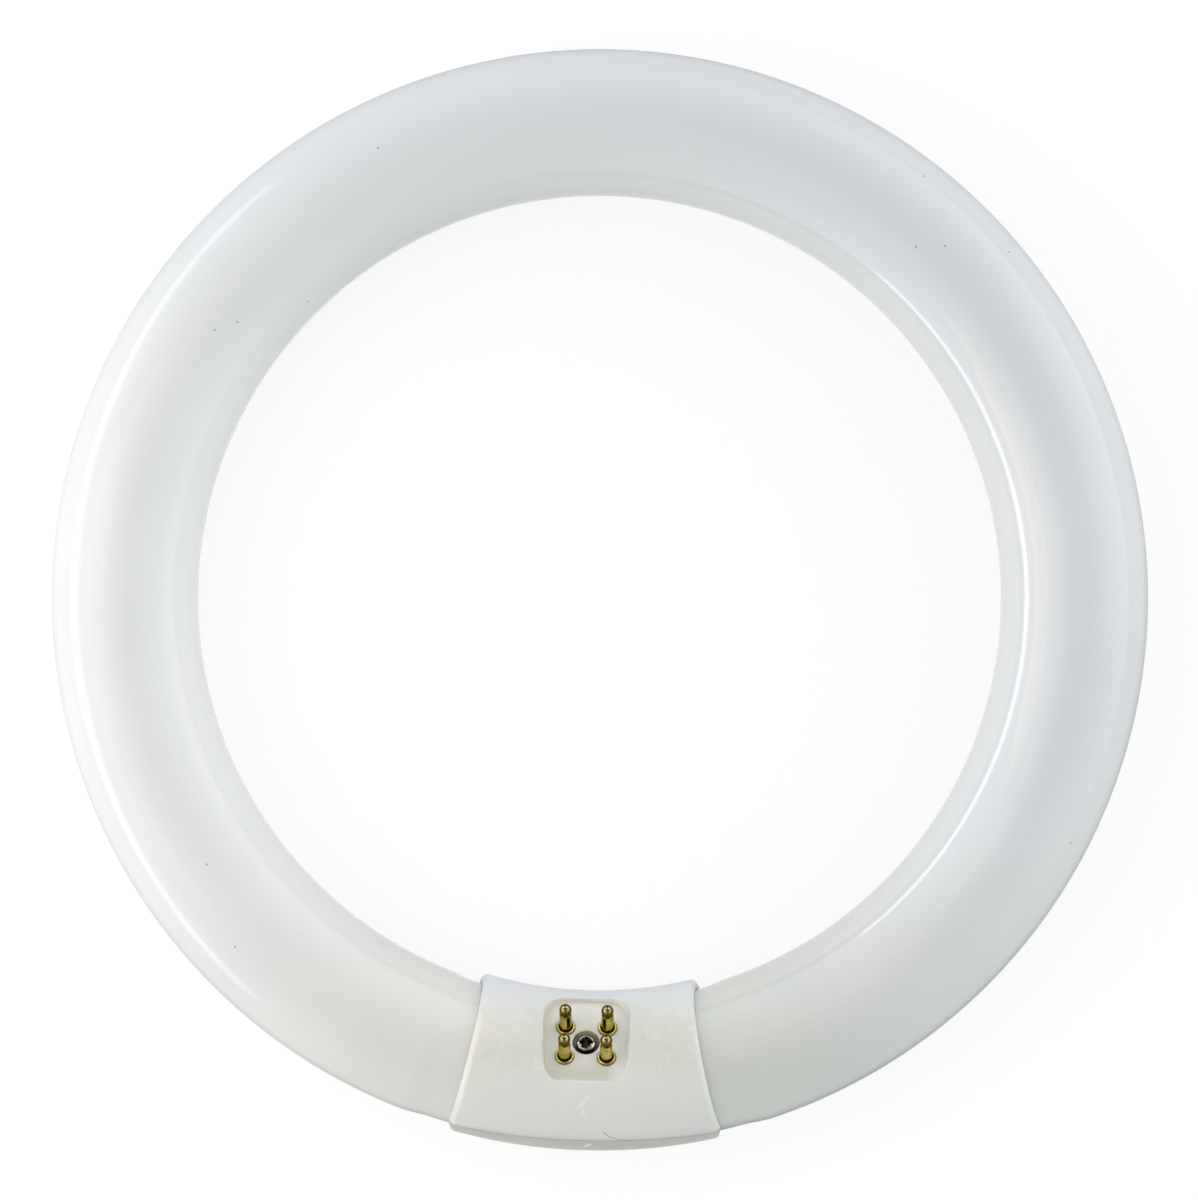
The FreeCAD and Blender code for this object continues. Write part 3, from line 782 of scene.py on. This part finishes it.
def floor_material():
    """White where it is seen, apart from the shadow, and grey where it only throws light back."""
    material = bpy.data.materials.new("floor")
    material.use_nodes = True
    tree = material.node_tree
    tree.nodes.clear()
    bounce = add_node(tree, "ShaderNodeBsdfDiffuse", None, Color=opaque(FLOOR_BOUNCE)).outputs[0]
    shaded = add_node(tree, "ShaderNodeBsdfDiffuse", None, Color=opaque(FLOOR_SEEN)).outputs[0]
    glow = add_node(tree, "ShaderNodeEmission", None, Color=opaque(WHITE), Strength=FLOOR_GLOW).outputs[0]
    white = add_node(tree, "ShaderNodeAddShader", None, i0=shaded, i1=glow).outputs[0]
    mixed = add_node(tree, "ShaderNodeMixShader", None, i0=seen_rays(tree), i1=bounce, i2=white).outputs[0]
    add_node(tree, "ShaderNodeOutputMaterial", None, Surface=mixed)
    return material


def make_floor():
    mesh = bpy.data.meshes.new("floor")
    corners = [(-1, -1), (1, -1), (1, 1), (-1, 1)]
    points = [(x * FLOOR_REACH, y * FLOOR_REACH, 0) for x, y in corners]
    mesh.from_pydata(points, [], [(0, 1, 2, 3)])
    mesh.materials.append(floor_material())
    floor = bpy.data.objects.new("floor", mesh)
    bpy.context.scene.collection.objects.link(floor)


def make_world():
    world = bpy.data.worlds.new("studio")
    bpy.context.scene.world = world
    world.use_nodes = True
    tree = world.node_tree
    tree.nodes.clear()
    direction = tree.nodes.new("ShaderNodeTexCoord").outputs["Generated"]
    total = (0, 0, 0)
    for compass, colour in WORLD_LIGHT.items():
        axis = (math.cos(math.radians(compass)), math.sin(math.radians(compass)), 0)
        facing = math_node(tree, "MAXIMUM", vector_node(tree, "DOT_PRODUCT", direction, axis, "Value"), 0.0)
        total = vector_node(tree, "ADD", scaled_vector(tree, colour, product(tree, facing, facing)), total)
    background = add_node(tree, "ShaderNodeBackground", None, Color=total)
    add_node(tree, "ShaderNodeOutputWorld", None, Surface=background.outputs[0])


def area_lamp(name, place, target, size, radiance, colour):
    """Flat lamp of a given radiance, wide and tall in metres, turned towards a point."""
    data = bpy.data.lights.new(name, "AREA")
    data.shape = "RECTANGLE"
    data.size, data.size_y = size
    data.energy = radiance * math.pi * size[0] * size[1]
    data.color = colour
    lamp = bpy.data.objects.new(name, data)
    lamp.location = place
    lamp.rotation_euler = (Vector(place) - Vector(target)).to_track_quat("Z", "Y").to_euler()
    lamp.visible_camera = False
    bpy.context.scene.collection.objects.link(lamp)


def make_lamps():
    level = middle_z + STRIP_LEVEL
    strip_place = (-STRIP_DISTANCE, 0, level)
    area_lamp("key_strip", strip_place, (0, 0, level), STRIP_SIZE, STRIP_RADIANCE, STRIP_COLOUR)
    aim = (*LEFT_AIM, middle_z)
    area_lamp("left_near", NEAR_PLACE, aim, NEAR_SIZE, NEAR_RADIANCE, NEAR_COLOUR)

    # panes of growing size, each a little behind the last, so that the lamp's edge is soft in reflections
    radiance = OVER_STRENGTH / sum(width ** 2 for width in OVER_PANES)
    x, y, z = OVER_PLACE
    for number, width in enumerate(OVER_PANES):
        place = (x, y, z + OVER_PANE_STEP * number)
        area_lamp(f"left_over_{number}", place, aim, (width, width), radiance, OVER_COLOUR)


camera = make_camera()
make_glass(camera)
dress_frame(camera)
make_floor()
make_world()
make_lamps()
bpy.context.scene.view_settings.view_transform = "Standard"
